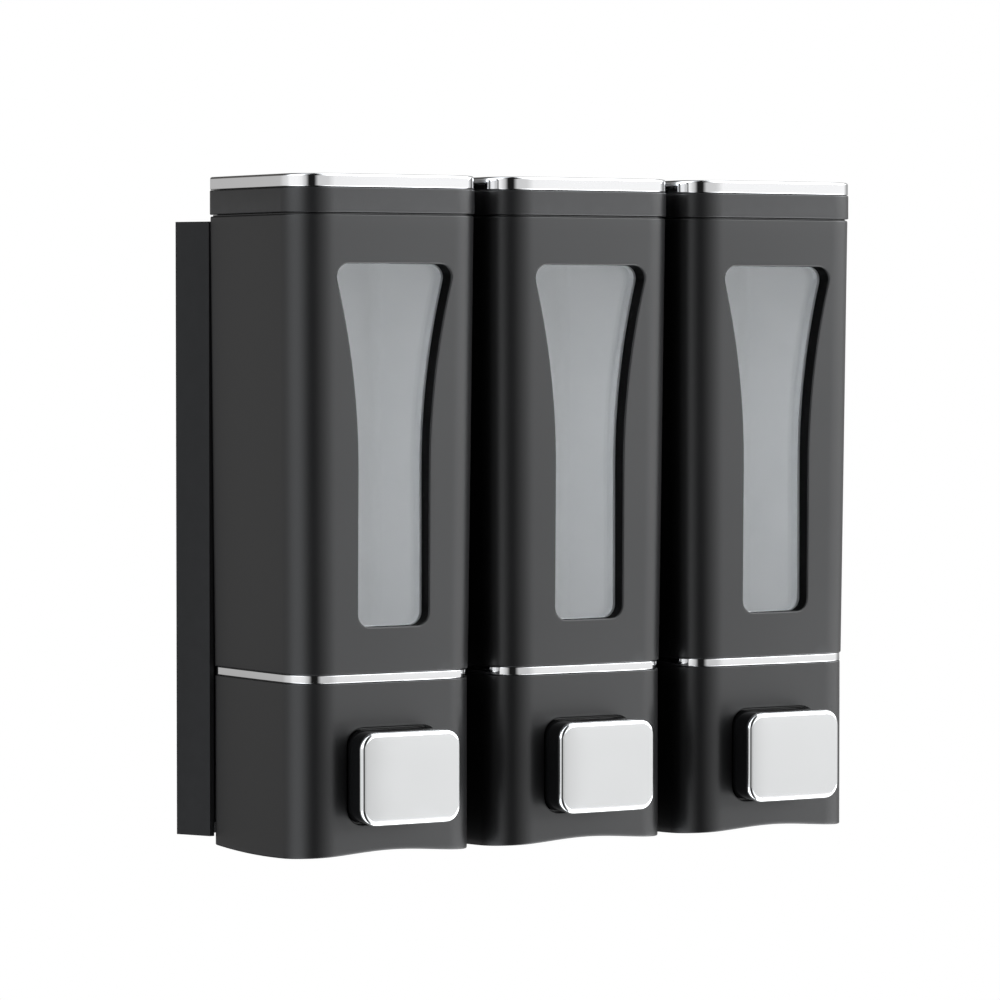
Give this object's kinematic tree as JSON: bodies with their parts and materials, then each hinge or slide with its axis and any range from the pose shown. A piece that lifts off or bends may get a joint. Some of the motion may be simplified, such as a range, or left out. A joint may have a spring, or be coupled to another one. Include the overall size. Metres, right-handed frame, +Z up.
{
  "type": "wall mounted soap dispenser",
  "caption": "Wall mounted soap dispenser with side-by-side black casings, flared sight windows, chrome push-buttons, hinged lids and a flared wall plate.",
  "frame": {"origin": "centre of the wall plate's back face, in the wall's plane", "axes": "+Z up, -Y out of the wall towards the user, +X to the user's right"},
  "size_m": [0.2164, 0.0775, 0.205],
  "materials": {
    "black_satin": "satin moulded black",
    "plate_black": "fine grained black",
    "black_gloss": "gloss black",
    "chrome_trim": "bright plated",
    "chrome_button": "satin plated",
    "clear_pane": "clear",
    "pale_tank": "pale translucent",
    "white_plastic": "natural moulded",
    "seal_rubber": "moulded silicone",
    "steel": "bright drawn"
  },
  "bodies": {
    "casings": {"wall_plate": "plate_black", "casing_screws": "steel", "pump_screws": "steel", "upper_casing_left": "black_satin", "upper_casing_middle": "black_satin", "upper_casing_right": "black_satin", "lower_casing_left": "black_satin", "lower_casing_middle": "black_satin", "lower_casing_right": "black_satin", "trim_band_left": "chrome_trim", "trim_band_middle": "chrome_trim", "trim_band_right": "chrome_trim", "lid_hinge_pin_left": "steel", "lid_hinge_pin_middle": "steel", "lid_hinge_pin_right": "steel", "tank_left": "pale_tank", "tank_middle": "pale_tank", "tank_right": "pale_tank", "sight_window_left": "clear_pane", "sight_window_middle": "clear_pane", "sight_window_right": "clear_pane", "return_spring_left": "steel", "return_spring_middle": "steel", "return_spring_right": "steel", "pump_body_left": "white_plastic", "pump_body_middle": "white_plastic", "pump_body_right": "white_plastic", "inlet_valve_left": "seal_rubber", "inlet_valve_middle": "seal_rubber", "inlet_valve_right": "seal_rubber", "outlet_valve_left": "seal_rubber", "outlet_valve_middle": "seal_rubber", "outlet_valve_right": "seal_rubber", "nozzle_left": "white_plastic", "nozzle_middle": "white_plastic", "nozzle_right": "white_plastic", "neck_seal_left": "seal_rubber", "neck_seal_middle": "seal_rubber", "neck_seal_right": "seal_rubber"},
    "lid_left": {"lid_cap_left": "black_satin", "lid_trim_left": "chrome_trim", "lid_seal_left": "seal_rubber"},
    "button_left": {"button_cap_left": "chrome_button", "button_block_left": "black_gloss", "piston_left": "white_plastic", "piston_seal_left": "seal_rubber"},
    "lid_middle": {"lid_cap_middle": "black_satin", "lid_trim_middle": "chrome_trim", "lid_seal_middle": "seal_rubber"},
    "button_middle": {"button_cap_middle": "chrome_button", "button_block_middle": "black_gloss", "piston_middle": "white_plastic", "piston_seal_middle": "seal_rubber"},
    "lid_right": {"lid_cap_right": "black_satin", "lid_trim_right": "chrome_trim", "lid_seal_right": "seal_rubber"},
    "button_right": {"button_cap_right": "chrome_button", "button_block_right": "black_gloss", "piston_right": "white_plastic", "piston_seal_right": "seal_rubber"}
  },
  "joints": [
    {"name": "lid_hinge_left", "type": "hinge", "parent": "casings", "child": "lid_left", "pos_m": [-0.0701, -0.0089, 0.09965], "axis": [-1, 0, 0], "range_deg": [0, 90]},
    {"name": "button_push_left", "type": "slide", "parent": "casings", "child": "button_left", "axis": [0, 1, 0], "range_m": [0, 0.008], "stiffness_N_per_m": 900, "springref_m": -0.006, "deforming": ["return_spring_left"]},
    {"name": "lid_hinge_middle", "type": "hinge", "parent": "casings", "child": "lid_middle", "pos_m": [0, -0.0089, 0.09965], "axis": [-1, 0, 0], "range_deg": [0, 90]},
    {"name": "button_push_middle", "type": "slide", "parent": "casings", "child": "button_middle", "axis": [0, 1, 0], "range_m": [0, 0.008], "stiffness_N_per_m": 900, "springref_m": -0.006, "deforming": ["return_spring_middle"]},
    {"name": "lid_hinge_right", "type": "hinge", "parent": "casings", "child": "lid_right", "pos_m": [0.0701, -0.0089, 0.09965], "axis": [-1, 0, 0], "range_deg": [0, 90]},
    {"name": "button_push_right", "type": "slide", "parent": "casings", "child": "button_right", "axis": [0, 1, 0], "range_m": [0, 0.008], "stiffness_N_per_m": 900, "springref_m": -0.006, "deforming": ["return_spring_right"]}
  ]
}
